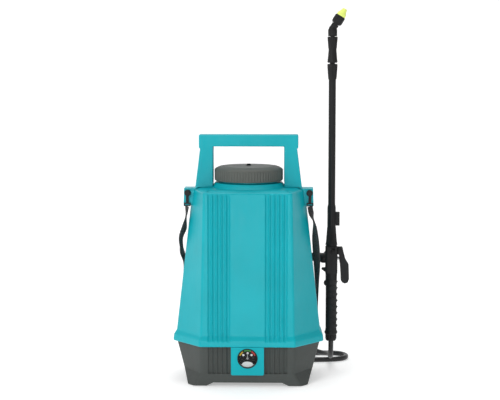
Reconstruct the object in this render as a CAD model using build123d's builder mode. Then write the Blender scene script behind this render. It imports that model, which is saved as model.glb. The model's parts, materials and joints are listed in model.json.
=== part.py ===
"""Battery backpack sprayer with an eight-litre tank: build123d source, millimetres.

The model is drawn in the tank's own frame: x to the right, y to the back, z up, with x = y = 0 on
the tank's centre line and z = 0 on the floor. Each finished piece is then moved by FRAME_SHIFT, so
that the origin of the part's frame lies on the floor under the middle of tank and lance together.
"""

from build123d import *
import os
from math import cos, radians, sin, tan

# ---------------------------------------------------------------- driving dimensions
FRAME_SHIFT = (-24.6, -7, 0)

# plan of the housing: half widths in front, at the widest corner and behind, then the depths of
# the front face, the widest corner, the rear side corner and the back
BASE_FOOT = dict(front=92, wide=103, back=90, front_y=-76, wide_y=-62, side_y=62, back_y=82)
BASE_ANKLE = dict(front=79, wide=111.2, back=81, front_y=-77.4, wide_y=-25, side_y=50, back_y=82)
BASE_RIM = dict(front=80, wide=126.5, back=93, front_y=-81, wide_y=-25, side_y=50, back_y=82)
TANK_LOW = dict(front=79, wide=125, back=95, front_y=-82, wide_y=-25, side_y=50, back_y=84)
TANK_HIGH = dict(front=75, wide=97, back=72, front_y=-75, wide_y=-5, side_y=42, back_y=74)

SKIRT_BOTTOM = 69.5    # lower edge of the skirt that overlaps the base
RIM_Z = 81             # top of the base and underside of the tank's floor
SHOULDER_Z = 330       # where the tank's walls end
DECK_Z = 335           # the flat top of the tank
ANKLE_Z = 22           # above this the base has the tank's slanting corners
FLOOR_Z = 9            # inside floor of the base
FOOT_GAP = 6.5         # height of the arches between the feet
WALL = 4
BASE_WALL = 4

# upright grooves in the front of tank and base, five to each side
GROOVE_COUNT = 5
GROOVE_PITCH = 7.9
GROOVE_HALF = 3.4
GROOVE_DEPTH = 2.6
GROOVE_X = 48.4        # middle of each group
GROOVE_RADIUS = (GROOVE_HALF**2 + GROOVE_DEPTH**2) / (2 * GROOVE_DEPTH)

# filler neck and lid
NECK_R = 50
NECK_BORE = 46
NECK_TOP = 358
LID_R = 59
LID_BOTTOM = 346
LID_SHOULDER = 366
LID_TOP = 371.5
LID_BORE = 51.5
LID_CEILING = 363

# carrying handle
HANDLE_HALF = 85.5
HANDLE_INNER = 61
HANDLE_TOP = 425
HANDLE_UNDER = 405
HANDLE_DEPTH = 30
EAR_X = 112
EAR_TOP = 333
EAR_BOTTOM = 303.5
BUTTON = (105, -15, 325)

# control panel and gauge
PANEL_HALF = 28
PANEL_LOW = 20.6
PANEL_THICK = 4.2
GAUGE_Z = 50
GAUGE_R = 17

# rear of the base
SWITCH = (-50, 42)
SOCKET = (-14, 42)
OUTLET = (60, 32)
HOSE_R = 4.5

# lance: a vertical axis beside the tank
LANCE_X, LANCE_Y = 145, 60
NUT_BOTTOM = 53
GRIP_LOW, GRIP_HIGH, VALVE_TOP = 70, 175, 222
STEM_Z = 201.5
PIVOT = (160, 215)
TUBE_R = 6.3
TUBE_TOP = 521
INNER_R = 4.6
HEAD_Z = 593
LEAN = 32              # tilt of the nozzle to the right, degrees
HOOK_Z = 203           # stud on the back of the valve, which hangs in the holder


# ---------------------------------------------------------------- helpers
def outline(size, grow=0, corner=9):
    """Eight-sided plan of the housing with rounded corners, grown outwards by grow."""
    right = [
        (size["front"], size["front_y"]),
        (size["wide"], size["wide_y"]),
        (size["wide"] - 3, size["side_y"]),
        (size["back"], size["back_y"]),
    ]
    left = [(-x, y) for x, y in reversed(right)]
    with BuildSketch(mode=Mode.PRIVATE) as plan:
        Polygon(*right, *left, align=None)
        if grow:
            offset(amount=grow, kind=Kind.INTERSECTION)
        fillet(plan.vertices(), corner)
    return plan.sketch


def between(low, high, share):
    """The plan a given share of the way from one plan to another."""
    return {key: low[key] + (high[key] - low[key]) * share for key in low}


def layers(*levels):
    """Solid through a stack of plans, each given as (height, plan, growth)."""
    with BuildPart() as made:
        for (z0, plan0, grow0), (z1, plan1, grow1) in zip(levels, levels[1:]):
            with BuildSketch(Plane.XY.offset(z0)):
                add(outline(plan0, grow0))
            with BuildSketch(Plane.XY.offset(z1)):
                add(outline(plan1, grow1))
            loft(ruled=True)
    return made.part


def turned(profile, at=(0, 0, 0), along=(0, 0, 1)):
    """A turned piece from its half profile of (radius, height) points, on the axis along."""
    base = Plane(at, x_dir=(0, 1, 0) if abs(along[0]) > 0.1 else (1, 0, 0), z_dir=along)
    side = Plane(at, x_dir=base.x_dir, z_dir=-base.y_dir)
    with BuildPart() as made:
        with BuildSketch(side):
            with BuildLine():
                Polyline(*profile, close=True)
            make_face()
        revolve(axis=Axis(at, along))
    return made.part


def slab(points, plane, thick):
    """A plate of the given outline, as thick as stated on the plane's positive side."""
    with BuildPart() as made:
        with BuildSketch(plane):
            with BuildLine():
                Polyline(*points, close=True)
            make_face()
        extrude(amount=thick)
    return made.part


def bend_radii(points):
    """Largest neat radius at each corner of a route: 0.45 of the shorter run over tan(half turn)."""
    radii = []
    for before, here, after in zip(points, points[1:], points[2:]):
        run_in = Vector(*here) - Vector(*before)
        run_out = Vector(*after) - Vector(*here)
        half_turn = radians(run_in.get_angle(run_out) / 2)
        radii.append(0.45 * min(run_in.length, run_out.length) / tan(half_turn))
    return radii


def hose(points, radius, name):
    """Round hose along straight runs joined by tangent arcs."""
    radii = bend_radii(points)
    print(name, "bend radii", [round(r, 1) for r in radii])
    start = Vector(*points[0])
    with BuildPart() as made:
        with BuildLine() as route:
            FilletPolyline(*points, radius=radii)
        with BuildSketch(Plane(start, z_dir=Vector(*points[1]) - start)):
            Circle(radius)
        sweep()
    print(name, "length", round(route.wire().length, 1))
    return made.part


def keep(name, piece):
    """Label one finished piece, move it into the part's frame and write it."""
    piece = piece.moved(Location(FRAME_SHIFT))
    piece.label = name
    export_step(piece, f"parts/{name}.step")


os.makedirs("parts", exist_ok=True)
BASE_SKIRT = between(BASE_ANKLE, BASE_RIM, (SKIRT_BOTTOM - ANKLE_Z) / (RIM_Z - ANKLE_Z))
# the base's front face: origin at floor level, y up along the face, z outwards
FRONT_SLOPE = Vector(0, BASE_RIM["front_y"] - BASE_ANKLE["front_y"], RIM_Z - ANKLE_Z)
PANEL = Plane(
    Vector(0, BASE_ANKLE["front_y"], ANKLE_Z) - FRONT_SLOPE * (ANKLE_Z / FRONT_SLOPE.Z),
    x_dir=(1, 0, 0),
    z_dir=Vector(1, 0, 0).cross(FRONT_SLOPE),
)
GAUGE = PANEL.shift_origin(PANEL.from_local_coords((0, GAUGE_Z, 0)))
TANK_FRONT = Plane(
    (0, TANK_LOW["front_y"], RIM_Z),
    x_dir=(1, 0, 0),
    z_dir=Vector(1, 0, 0).cross(
        Vector(0, TANK_HIGH["front_y"] - TANK_LOW["front_y"], SHOULDER_Z - RIM_Z)
    ),
)
BACK = Plane((0, BASE_RIM["back_y"], 0), x_dir=(-1, 0, 0), z_dir=(0, 1, 0))


def grooves(face, low, high):
    """Round-bottomed upright grooves to cut from a front face, between two heights along it."""
    foot = face.from_local_coords((0, low, GROOVE_RADIUS - GROOVE_DEPTH))
    with BuildPart() as cutter:
        with BuildSketch(Plane(foot, x_dir=(1, 0, 0), z_dir=face.y_dir)):
            for side in (-1, 1):
                with Locations((side * GROOVE_X, 0)):
                    with GridLocations(GROOVE_PITCH, 0, GROOVE_COUNT, 1):
                        Circle(GROOVE_RADIUS)
        extrude(amount=high - low)
    return cutter.part


# ---------------------------------------------------------------- tank
with BuildPart() as tank:
    add(layers(
        (RIM_Z, TANK_LOW, 0),
        (SHOULDER_Z, TANK_HIGH, 0),
        (DECK_Z, TANK_HIGH, -7),
    ))
    add(layers(
        (SKIRT_BOTTOM, TANK_LOW, 3.4),
        (RIM_Z - 2, TANK_LOW, 4),
        (RIM_Z + 1, TANK_LOW, 3),
    ))
    add(turned([(0, DECK_Z - 2), (62.5, DECK_Z - 2), (62.5, DECK_Z + 1), (58, DECK_Z + 8),
                (NECK_R, DECK_Z + 8), (NECK_R, NECK_TOP), (0, NECK_TOP)]))
    # room inside the skirt for the base, then the space for the liquid and the filler neck
    add(layers((SKIRT_BOTTOM - 1, BASE_SKIRT, 0.4), (RIM_Z, BASE_RIM, 0.4)), mode=Mode.SUBTRACT)
    add(layers(
        (RIM_Z + WALL, TANK_LOW, -WALL),
        (SHOULDER_Z - 2, TANK_HIGH, -WALL),
        (DECK_Z - WALL, TANK_HIGH, -WALL - 4),
    ), mode=Mode.SUBTRACT)
    with BuildSketch(Plane.XY.offset(DECK_Z - 2 * WALL)):
        Circle(NECK_BORE)
    extrude(amount=40, mode=Mode.SUBTRACT)
    add(grooves(TANK_FRONT, 4, SHOULDER_Z - RIM_Z - 5), mode=Mode.SUBTRACT)
    # outlet in the tank's floor
    with BuildSketch(Plane.XY.offset(RIM_Z - 1)):
        with Locations((62, 30)):
            Circle(7.05)
    extrude(amount=WALL + 2, mode=Mode.SUBTRACT)
keep("tank", tank.part)

# ---------------------------------------------------------------- base
FOOT_SPOTS = [(-84, -59), (84, -59), (-84, 64), (84, 64)]
SCREW_SPOTS = [(-52, -50), (52, -50), (-52, 56), (52, 56)]
SCREW_HEAD = 1.6
with BuildPart() as base_tub:
    add(layers((1, BASE_FOOT, 0), (ANKLE_Z, BASE_ANKLE, 0), (RIM_Z, BASE_RIM, 0)))
    add(layers(
        (FLOOR_Z, BASE_FOOT, -BASE_WALL - 8),
        (ANKLE_Z, BASE_ANKLE, -BASE_WALL),
        (RIM_Z + 1, BASE_RIM, -BASE_WALL),
    ), mode=Mode.SUBTRACT)
    # arches between the feet, front to back and side to side
    with BuildSketch(Plane.XZ.offset(-120)):
        Polygon((-72, 0), (72, 0), (58.5, FOOT_GAP), (-58.5, FOOT_GAP), align=None)
    extrude(amount=240, mode=Mode.SUBTRACT)
    with BuildSketch(Plane.YZ.offset(-140)):
        Polygon((-42, 0), (46, 0), (38, FOOT_GAP), (-34, FOOT_GAP), align=None)
    extrude(amount=280, mode=Mode.SUBTRACT)
    add(grooves(PANEL, 22, RIM_Z + 2), mode=Mode.SUBTRACT)
    with BuildSketch(GAUGE.offset(-10)):
        Circle(GAUGE_R + 0.2)
    extrude(amount=20, mode=Mode.SUBTRACT)
    with BuildSketch(BACK.offset(-10)):
        with Locations((-SWITCH[0], SWITCH[1])):
            Rectangle(20, 13)
        with Locations((-SOCKET[0], SOCKET[1])):
            Circle(4.6)
        with Locations((-OUTLET[0], OUTLET[1])):
            Circle(6.05)
    extrude(amount=20, mode=Mode.SUBTRACT)
    # pockets for the rubber feet and for the screw heads
    with BuildSketch():
        with Locations(*FOOT_SPOTS):
            Circle(7)
    extrude(amount=4, mode=Mode.SUBTRACT)
    with BuildSketch(Plane.XY.offset(FOOT_GAP)):
        with Locations(*SCREW_SPOTS):
            Circle(4)
    extrude(amount=SCREW_HEAD, mode=Mode.SUBTRACT)
keep("base_tub", base_tub.part)

with BuildPart() as rubber_feet:
    with BuildSketch():
        with Locations(*FOOT_SPOTS):
            Circle(7)
    extrude(amount=4)
    chamfer(rubber_feet.edges().group_by(Axis.Z)[0], 0.6)
keep("rubber_feet", rubber_feet.part)

with BuildPart() as base_screws:
    with BuildSketch(Plane.XY.offset(FOOT_GAP)):
        with Locations(*SCREW_SPOTS):
            Circle(4)
            RegularPolygon(1.4, 6, mode=Mode.SUBTRACT)
    extrude(amount=SCREW_HEAD)
keep("base_screws", base_screws.part)

# ---------------------------------------------------------------- control panel and gauge
with BuildPart() as control_panel:
    with BuildSketch(PANEL):
        with Locations((0, (PANEL_LOW + SKIRT_BOTTOM) / 2 - 0.1)):
            Rectangle(2 * PANEL_HALF, SKIRT_BOTTOM - PANEL_LOW - 0.2)
        with Locations((0, GAUGE_Z)):
            Circle(GAUGE_R + 0.2, mode=Mode.SUBTRACT)
    extrude(amount=PANEL_THICK)
    outward = Axis(PANEL.origin, PANEL.z_dir)
    lower_corners = control_panel.edges().filter_by(outward).group_by(Axis.Z)[0]
    fillet(lower_corners, 3)
keep("control_panel", control_panel.part)


def on_gauge(profile):
    """A turned piece of the gauge: heights are measured outwards from the face of the base."""
    return turned(profile, at=tuple(GAUGE.origin), along=tuple(GAUGE.z_dir))


FACE_H = 2.2
keep("gauge_housing", on_gauge([
    (0, -9), (GAUGE_R, -9), (GAUGE_R, 5.4), (GAUGE_R - 1.1, 5.4), (GAUGE_R - 1.1, FACE_H - 1),
    (0, FACE_H - 1)]))
keep("gauge_face", on_gauge([(1.05, FACE_H - 1), (GAUGE_R - 1.1, FACE_H - 1),
                             (GAUGE_R - 1.1, FACE_H), (1.05, FACE_H)]))
keep("gauge_lens", on_gauge([(0, 4), (GAUGE_R - 1.1, 4), (GAUGE_R - 1.1, 5), (0, 5)]))

with BuildPart() as gauge_needle:
    with BuildSketch(GAUGE.offset(FACE_H + 0.4)):
        Circle(1.9)
        Polygon((-0.8, 0), (0.8, 0), (0.35, 9), (-0.35, 9), align=None)
    extrude(amount=0.7)
    with BuildSketch(GAUGE.offset(FACE_H - 0.9)):
        Circle(1)
    extrude(amount=1.4)
keep("gauge_needle", gauge_needle.part)

# ---------------------------------------------------------------- switch and charging socket
with BuildPart() as switch_housing:
    with BuildSketch(BACK):
        with Locations((-SWITCH[0], SWITCH[1])):
            RectangleRounded(24, 17, 2)
    extrude(amount=1.6)
    with BuildSketch(BACK.offset(-9)):
        with Locations((-SWITCH[0], SWITCH[1])):
            Rectangle(19.8, 12.8)
    extrude(amount=9)
    with BuildSketch(BACK.offset(-7)):
        with Locations((-SWITCH[0], SWITCH[1])):
            Rectangle(16.4, 10.4)
    extrude(amount=10, mode=Mode.SUBTRACT)
    for side in (-1, 1):
        with BuildSketch(Plane.YZ.offset(SWITCH[0] + side * 9.6)):
            with Locations((BASE_RIM["back_y"] - 2, SWITCH[1])):
                Circle(1.05)
        extrude(amount=-side * 2, mode=Mode.SUBTRACT)
keep("switch_housing", switch_housing.part)

with BuildPart() as switch_rocker:
    rocker_y = BASE_RIM["back_y"] - 2
    with BuildSketch(Plane.YZ.offset(SWITCH[0] - 7.8)):
        with BuildLine():
            Polyline((rocker_y - 3, SWITCH[1] - 2.5), (rocker_y + 4.5, SWITCH[1] - 4.2),
                     (rocker_y + 3.2, SWITCH[1]), (rocker_y + 5.6, SWITCH[1] + 4),
                     (rocker_y - 3, SWITCH[1] + 2.5), close=True)
        make_face()
    extrude(amount=15.6)
    with BuildSketch(Plane.YZ.offset(SWITCH[0] - 9.4)):
        with Locations((rocker_y, SWITCH[1])):
            Circle(1)
    extrude(amount=18.8)
keep("switch_rocker", switch_rocker.part)

SOCKET_AT = (SOCKET[0], BASE_RIM["back_y"], SOCKET[1])
keep("charge_socket", turned([
    (2.75, -9), (4.6, -9), (4.6, 0), (7, 0), (7, 2), (2.75, 2)], SOCKET_AT, (0, 1, 0)))

CAP_HINGE = (BASE_RIM["back_y"] + 3.4, SOCKET[1] + 10.6)
with BuildPart() as charge_cap:
    with BuildSketch(BACK.offset(2.2)):
        with Locations((-SOCKET[0], SOCKET[1])):
            Circle(7.6)
        with Locations((-SOCKET[0], SOCKET[1] + 5)):
            Rectangle(8, 10)
    extrude(amount=2.2)
    with BuildSketch(BACK.offset(0.2)):
        with Locations((-SOCKET[0], SOCKET[1])):
            Circle(2)
    extrude(amount=2.2)
    with BuildSketch(Plane.YZ.offset(SOCKET[0] - 4)):
        with Locations(CAP_HINGE):
            Circle(1.6)
    extrude(amount=8)
    with BuildSketch(Plane.YZ.offset(SOCKET[0] - 5)):
        with Locations(CAP_HINGE):
            Circle(0.85)
    extrude(amount=10, mode=Mode.SUBTRACT)
keep("charge_cap", charge_cap.part)

with BuildPart() as cap_hinge:
    with BuildSketch(Plane.YZ.offset(SOCKET[0] - 7)):
        with Locations(CAP_HINGE):
            Circle(0.8)
    extrude(amount=14)
    for start in (-7, 4.4):
        with BuildSketch(Plane.YZ.offset(SOCKET[0] + start)):
            with Locations(CAP_HINGE):
                Circle(1.8)
            with Locations((BASE_RIM["back_y"] + 1.7, CAP_HINGE[1])):
                Rectangle(3.4, 3.6)
        extrude(amount=2.6)
keep("cap_hinge", cap_hinge.part)

# ---------------------------------------------------------------- battery, pump and pipes
BATTERY = (101, 90, 66)
BATTERY_AT = (-37, 10)
with BuildPart(Plane(BATTERY_AT).offset(FLOOR_Z)) as battery_pack:
    Box(*BATTERY, align=(Align.CENTER, Align.CENTER, Align.MIN))
    fillet(battery_pack.edges().filter_by(Axis.Z), 4)
keep("battery_pack", battery_pack.part)

with BuildPart() as battery_clamp:
    half = BATTERY[1] / 2
    with BuildSketch(Plane.YZ.offset(BATTERY_AT[0] - 9)):
        with BuildLine():
            y0, y1, top = BATTERY_AT[1] - half, BATTERY_AT[1] + half, FLOOR_Z + BATTERY[2]
            Polyline((y0 - 10, FLOOR_Z), (y0 - 10, FLOOR_Z + 2), (y0 - 2, FLOOR_Z + 2),
                     (y0 - 2, top + 2), (y1 + 2, top + 2), (y1 + 2, FLOOR_Z + 2),
                     (y1 + 10, FLOOR_Z + 2), (y1 + 10, FLOOR_Z), (y1, FLOOR_Z), (y1, top),
                     (y0, top), (y0, FLOOR_Z), close=True)
        make_face()
    extrude(amount=18)
keep("battery_clamp", battery_clamp.part)

PUMP_X, PUMP_Z = 44, 38
keep("pump_motor", turned([(0, -46), (16, -46), (18, -44), (18, 12), (0, 12)],
                          (PUMP_X, -10, PUMP_Z), (0, 1, 0)))
with BuildPart(Plane((PUMP_X, 2, PUMP_Z), x_dir=(1, 0, 0), z_dir=(0, 1, 0))) as pump_head:
    Box(46, 44, 40, align=(Align.CENTER, Align.CENTER, Align.MIN))
    chamfer(pump_head.edges().filter_by(Axis.Y), 5)
    with BuildSketch(Plane.XY.offset(PUMP_Z + 22)):
        with Locations((62, 30)):
            Circle(4)
    extrude(amount=6)
    with BuildSketch(Plane.YZ.offset(PUMP_X + 23)):
        with Locations((30, 32)):
            Circle(4)
    extrude(amount=6)
keep("pump_head", pump_head.part)

with BuildPart(Plane.XY.offset(FLOOR_Z)) as pump_mounts:
    with Locations((PUMP_X - 15, 12), (PUMP_X + 15, 12), (PUMP_X - 15, 34), (PUMP_X + 15, 34)):
        Cylinder(5, PUMP_Z - 22 - FLOOR_Z, align=(Align.CENTER, Align.CENTER, Align.MIN))
keep("pump_mounts", pump_mounts.part)

keep("tank_outlet", turned([
    (4, 69), (7, 69), (7, RIM_Z + WALL), (9.5, RIM_Z + WALL), (9.5, RIM_Z + WALL + 2.5),
    (4, RIM_Z + WALL + 2.5)], (62, 30, 0)))
keep("suction_hose", turned([(4, 60), (6, 60), (6, 69), (4, 69)], (62, 30, 0)))
keep("delivery_hose", hose(
    [(73, 30, 32), (88, 30, 32), (90, 46, 32), (82, 60, 32), (68, 60, 32), (60, 66, 32),
     (OUTLET[0], 76, 32)], 3.5, "delivery_hose"))

keep("outlet_fitting", turned([
    (2.5, -6), (6, -6), (6, 0), (9, 0), (9, 3), (6.5, 3), (6.5, 6), (3.6, 6), (3.6, 14),
    (2.5, 14)], (OUTLET[0], BASE_RIM["back_y"], OUTLET[1]), (0, 1, 0)))
keep("outlet_nut", turned([
    (3.6, 6), (8, 6), (8, 16), (6.6, 18), (HOSE_R, 18), (HOSE_R, 14), (3.6, 14)],
    (OUTLET[0], BASE_RIM["back_y"], OUTLET[1]), (0, 1, 0)))

# ---------------------------------------------------------------- handle with its strap lugs
with BuildPart() as handle:
    with BuildSketch(Plane.XZ.offset(-HANDLE_DEPTH / 2)):
        with BuildLine():
            outer = [(HANDLE_HALF, HANDLE_TOP), (HANDLE_HALF, HANDLE_UNDER - 2),
                     (HANDLE_HALF - 2, HANDLE_UNDER - 4), (92, EAR_TOP), (EAR_X - 1, EAR_TOP),
                     (EAR_X, EAR_BOTTOM), (90, EAR_BOTTOM), (90, 325), (HANDLE_INNER, 325),
                     (HANDLE_INNER, HANDLE_UNDER)]
            Polyline(*outer, *[(-x, z) for x, z in reversed(outer)], close=True)
        make_face()
    extrude(amount=HANDLE_DEPTH)
    across = handle.edges().filter_by(Axis.Y)
    fillet(across.filter_by_position(Axis.Z, HANDLE_TOP - 1, HANDLE_TOP + 1), 2)
    fillet(across.filter_by_position(Axis.Z, HANDLE_UNDER - 1, HANDLE_UNDER + 1), 1.5)
    rim = handle.faces().sort_by(Axis.Y)[0].edges() + handle.faces().sort_by(Axis.Y)[-1].edges()
    chamfer(rim.filter_by_position(Axis.Z, EAR_TOP + 1, HANDLE_TOP + 1), 1.4)
    add(layers((RIM_Z, TANK_LOW, 0), (SHOULDER_Z, TANK_HIGH, 0), (DECK_Z, TANK_HIGH, -7)),
        mode=Mode.SUBTRACT)
    add(turned([(0, 300), (63, 300), (63, 345), (0, 345)]), mode=Mode.SUBTRACT)
    for side in (-1, 1):
        with BuildSketch(Plane.XZ.offset(-BUTTON[1] - 6)):
            with Locations((side * BUTTON[0], BUTTON[2])):
                Circle(2.02)
        extrude(amount=6.1, mode=Mode.SUBTRACT)
keep("handle", handle.part)

# ---------------------------------------------------------------- filler strainer, gasket and lid
with BuildPart() as filler_strainer:
    add(turned([
        (0, 292), (43.5, 292), (45.5, NECK_TOP), (49.5, NECK_TOP), (49.5, NECK_TOP + 2),
        (43.9, NECK_TOP + 2), (42, 293.6), (0, 293.6)]))
    with BuildSketch(Plane.XY.offset(290)):
        for radius, count in ((10, 8), (19, 14), (28, 20), (36, 26)):
            with PolarLocations(radius, count):
                Circle(1.6)
    extrude(amount=6, mode=Mode.SUBTRACT)
    with BuildSketch(Plane.XY.offset(298)):
        with PolarLocations(43, 18):
            Rectangle(12, 5)
    extrude(amount=38, mode=Mode.SUBTRACT)
keep("filler_strainer", filler_strainer.part)

keep("lid_gasket", turned([
    (44.5, NECK_TOP + 2), (49.3, NECK_TOP + 2), (49.3, LID_CEILING), (44.5, LID_CEILING)]))
with BuildPart() as lid_shell:
    add(turned([
        (LID_BORE, LID_BOTTOM), (57.5, LID_BOTTOM), (LID_R, LID_BOTTOM + 1.5),
        (LID_R, LID_SHOULDER - 1), (58.2, LID_SHOULDER), (52, LID_TOP - 1.6), (49, LID_TOP - 0.9),
        (24, LID_TOP), (0, LID_TOP), (0, LID_CEILING), (LID_BORE, LID_CEILING)]))
    with BuildSketch(Plane.XY.offset(LID_CEILING - 1)):
        Circle(3.02)
    extrude(amount=12, mode=Mode.SUBTRACT)
keep("lid_shell", lid_shell.part)
keep("lid_vent", turned([
    (0, LID_CEILING), (3, LID_CEILING), (3, LID_TOP), (4, LID_TOP), (4, LID_TOP + 1.4),
    (2.6, LID_TOP + 3), (0, LID_TOP + 3.2)]))

# ---------------------------------------------------------------- shoulder straps
# middle line of each strap from lug to lower anchor: x, y, z, direction of its width in degrees
# from the x axis, and width
STRAP_WIDTH = 28
STRAP_THICK = 2.4
STRAP_RIGHT = [
    (105.8, -17.6, 301.2, 6, 9), (107.6, -16.4, 292, 30, 10), (111.2, -12, 281, 84, 14),
    (114.9, -5, 266, 100, 22), (116.2, 6, 240, 110, STRAP_WIDTH), (118.2, 19, 205, 110, STRAP_WIDTH),
    (118.9, 36, 165, 100, STRAP_WIDTH), (119.8, 52, 124, 92, STRAP_WIDTH),
    (118.2, 60.5, 106, 106, STRAP_WIDTH), (112.9, 72.4, 90, 126, STRAP_WIDTH),
    (108.8, 76.5, 66, 131, STRAP_WIDTH), (106.5, 74.6, 60.9, 134, STRAP_WIDTH),
]
STRAP_LEFT = [
    (106, -17.4, 301.2, 50, 9), (107, -15, 292, 74, 11), (108.5, -12, 283, 88, 14),
    (111.3, -7, 271, 99, 20), (114.6, 2, 255, 105, STRAP_WIDTH), (118.2, 14, 236, 92, STRAP_WIDTH),
    (118.2, 21, 221, 96, STRAP_WIDTH), (113.3, 32, 198, 94, STRAP_WIDTH),
    (115.2, 40, 165, 93, STRAP_WIDTH), (119.8, 52, 124, 92, STRAP_WIDTH),
    (118.2, 60.5, 106, 106, STRAP_WIDTH), (112.9, 72.4, 90, 126, STRAP_WIDTH),
    (108.8, 76.5, 66, 131, STRAP_WIDTH), (106.5, 74.6, 60.9, 134, STRAP_WIDTH),
]
ADJUSTER_AT = -3       # the section of the strap that carries the adjuster


def strap_plane(route, side, i):
    """Plane across a strap at section i, with x along its width and z along its length."""
    i = i % len(route)
    here, before, after = (
        Vector(side * x, y, z)
        for x, y, z, _, _ in (route[i], route[max(i - 1, 0)], route[min(i + 1, len(route) - 1)])
    )
    ahead = after - before
    turn = radians(route[i][3])
    across = Vector(side * cos(turn), sin(turn), 0)
    across = across - ahead * (across.dot(ahead) / ahead.dot(ahead))
    return Plane(here, x_dir=across, z_dir=ahead)


def strap(route, side):
    """One shoulder strap as a ruled band of rectangular sections."""
    with BuildPart() as made:
        for i in range(len(route)):
            with BuildSketch(strap_plane(route, side, i)):
                Rectangle(route[i][4], STRAP_THICK)
        loft(ruled=True)
    return made.part


def adjuster(route, side):
    """Three-bar slide that sets the strap's length."""
    with BuildPart() as made:
        with BuildSketch(strap_plane(route, side, ADJUSTER_AT).offset(-1.3)):
            RectangleRounded(STRAP_WIDTH + 8, STRAP_THICK + 4, 2)
            Rectangle(STRAP_WIDTH + 1.6, STRAP_THICK + 1.2, mode=Mode.SUBTRACT)
        extrude(amount=2.6)
    return made.part


def button(side):
    """Round strap button on the front of a lug, with its shank in the lug."""
    return turned([(0, -6), (2, -6), (2, 0), (3.4, 0), (3.4, 3.2), (5.2, 3.2), (5.2, 6), (4.4, 7),
                   (0, 7)], (side * BUTTON[0], BUTTON[1], BUTTON[2]), (0, -1, 0))


def end_link(side):
    """Link that hangs on the button and holds the sewn end of the strap."""
    with BuildPart() as made:
        with BuildSketch(Plane.XZ.offset(-BUTTON[1] + 0.3)):
            with Locations((side * BUTTON[0], BUTTON[2])):
                Circle(5.6)
            with Locations((side * 105.4, 314)):
                Rectangle(4.8, 14)
            with Locations((side * 105.8, 305)):
                Rectangle(11.6, 5.6)
            with Locations((side * BUTTON[0], BUTTON[2])):
                Circle(3.7, mode=Mode.SUBTRACT)
            with Locations((side * 105.8, 304.8)):
                Rectangle(8.8, 2.4, mode=Mode.SUBTRACT)
        extrude(amount=2.4)
    return made.part


def anchor(side):
    """Lower strap anchor on the rear corner of the base: a foot and a loop with a bar."""
    face = Plane((side * 100.6, 68.9, 45), x_dir=(-0.7, side * 0.72, 0), z_dir=(side * 0.72, 0.7, 0))
    with BuildPart() as made:
        with BuildSketch(face.offset(-3)):
            RectangleRounded(34, 12, 2)
        extrude(amount=8.6)
        with BuildSketch(face.offset(5.6)):
            with Locations((0, 4)):
                RectangleRounded(35, 20, 3)
                with Locations((0, 3)):
                    Rectangle(29.6, 7, mode=Mode.SUBTRACT)
        extrude(amount=3)
        add(layers((0, BASE_ANKLE, 0), (ANKLE_Z, BASE_ANKLE, 0), (RIM_Z, BASE_RIM, 0)),
            mode=Mode.SUBTRACT)
    return made.part


keep("strap_right", strap(STRAP_RIGHT, 1))
keep("strap_left", strap(STRAP_LEFT, -1))
keep("strap_adjusters", Compound([adjuster(STRAP_RIGHT, 1), adjuster(STRAP_LEFT, -1)]))
keep("strap_buttons", Compound([button(1), button(-1)]))
keep("strap_links", Compound([end_link(1), end_link(-1)]))
keep("strap_anchors", Compound([anchor(1), anchor(-1)]))

# ---------------------------------------------------------------- lance: grip and valve
LANCE = (LANCE_X, LANCE_Y, 0)
RIDGE_COUNT = 8
RIDGE_PITCH = 11.3
with BuildPart() as grip_body:
    add(turned([
        (3, GRIP_LOW), (10.4, GRIP_LOW), (9.8, GRIP_LOW + 6), (9.8, GRIP_HIGH - 30),
        (10.4, GRIP_HIGH), (10.4, VALVE_TOP), (9, VALVE_TOP + 3), (3, VALVE_TOP + 3)], LANCE))
    # slanting finger ridges on the trigger side
    for i in range(RIDGE_COUNT):
        ridge = Plane((LANCE_X + 1, LANCE_Y, 83 + RIDGE_PITCH * i)).rotated((0, 26, 0))
        with BuildSketch(ridge):
            Circle(10.8)
            Circle(7.6, mode=Mode.SUBTRACT)
        extrude(amount=2.6, both=True)
    # valve block, palm swell, hanging beak and the lug for the trigger
    with BuildSketch(Plane.XY.offset(GRIP_HIGH)):
        with Locations((LANCE_X, LANCE_Y)):
            RectangleRounded(21.4, 22, 4)
    extrude(amount=VALVE_TOP - GRIP_HIGH)
    with Locations((LANCE_X - 7.4, LANCE_Y, 157)):
        Sphere(6)
    add(slab([(136, 187), (136, 175), (131.4, 179), (127.6, 181.6), (128.2, 184.4), (133, 184.6)],
             Plane((0, LANCE_Y + 3, 0), x_dir=(1, 0, 0), z_dir=(0, -1, 0)), 6))
    add(slab([(150, 222), (163.4, 222), (163.4, 213), (160, 210.6), (150, 204)],
             Plane((0, LANCE_Y + 4, 0), x_dir=(1, 0, 0), z_dir=(0, -1, 0)), 8))
    # hanging stud on the back, neck and head
    with BuildSketch(Plane((LANCE_X, LANCE_Y + 10, HOOK_Z), x_dir=(1, 0, 0), z_dir=(0, 1, 0))):
        Circle(4)
    extrude(amount=12)
    with BuildSketch(Plane((LANCE_X, LANCE_Y + 21, HOOK_Z), x_dir=(1, 0, 0), z_dir=(0, 1, 0))):
        Circle(7)
    extrude(amount=3)
    # bores: the liquid's way, the stem, the spring chamber, the trigger pin and the lock's slot
    add(turned([(0, GRIP_LOW - 2), (3, GRIP_LOW - 2), (3, VALVE_TOP + 5), (0, VALVE_TOP + 5)],
               LANCE), mode=Mode.SUBTRACT)
    add(turned([(0, -12), (6, -12), (6, -6), (3.05, -6), (3.05, 12), (0, 12)],
               (LANCE_X, LANCE_Y, STEM_Z), (1, 0, 0)), mode=Mode.SUBTRACT)
    with BuildSketch(Plane.XZ.offset(-LANCE_Y - 10)):
        with Locations(PIVOT):
            Circle(1.52)
    extrude(amount=20, mode=Mode.SUBTRACT)
    with Locations((LANCE_X + 3, LANCE_Y - 10, 215.5)):
        Box(5.6, 6, 11, mode=Mode.SUBTRACT)
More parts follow.
